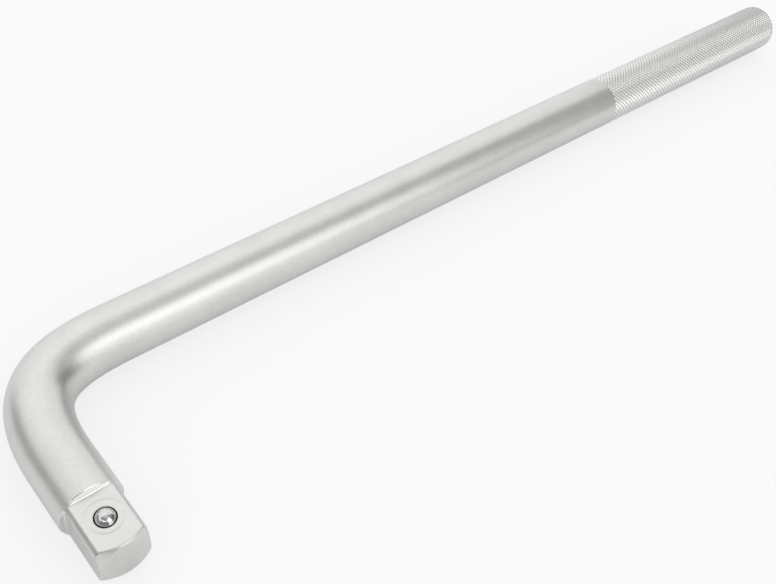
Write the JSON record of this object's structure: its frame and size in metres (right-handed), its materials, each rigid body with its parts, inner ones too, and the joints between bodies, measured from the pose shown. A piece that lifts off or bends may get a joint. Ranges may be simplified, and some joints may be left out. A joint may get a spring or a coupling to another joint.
{
  "type": "square drive handle",
  "caption": "L-shaped steel bar handle with a square drive milled on its short leg, a sprung ball in the square that holds a socket, and a knurled grip on its long arm.",
  "frame": {"origin": "centre of the end face of the drive square", "axes": "+Y from the drive's end face along the short leg to the bend, +X along the long arm to the grip's end, +Z out of the square's face that holds the ball"},
  "size_m": [0.485, 0.1009, 0.025],
  "materials": {
    "satin_chrome": "satin chrome plate on alloy steel",
    "polished_steel": "mirror-polished hardened steel",
    "spring_steel": "drawn spring wire, lightly oiled"
  },
  "bodies": {
    "bar": {"drive_bar": "satin_chrome", "detent_spring": "spring_steel"},
    "ball": {"detent_ball": "polished_steel"}
  },
  "joints": [
    {"name": "detent_press", "type": "slide", "parent": "bar", "child": "ball", "axis": [0, 0, -1], "range_m": [0, 0.0024], "stiffness_N_per_m": 2500, "deforming": ["detent_spring"]}
  ]
}
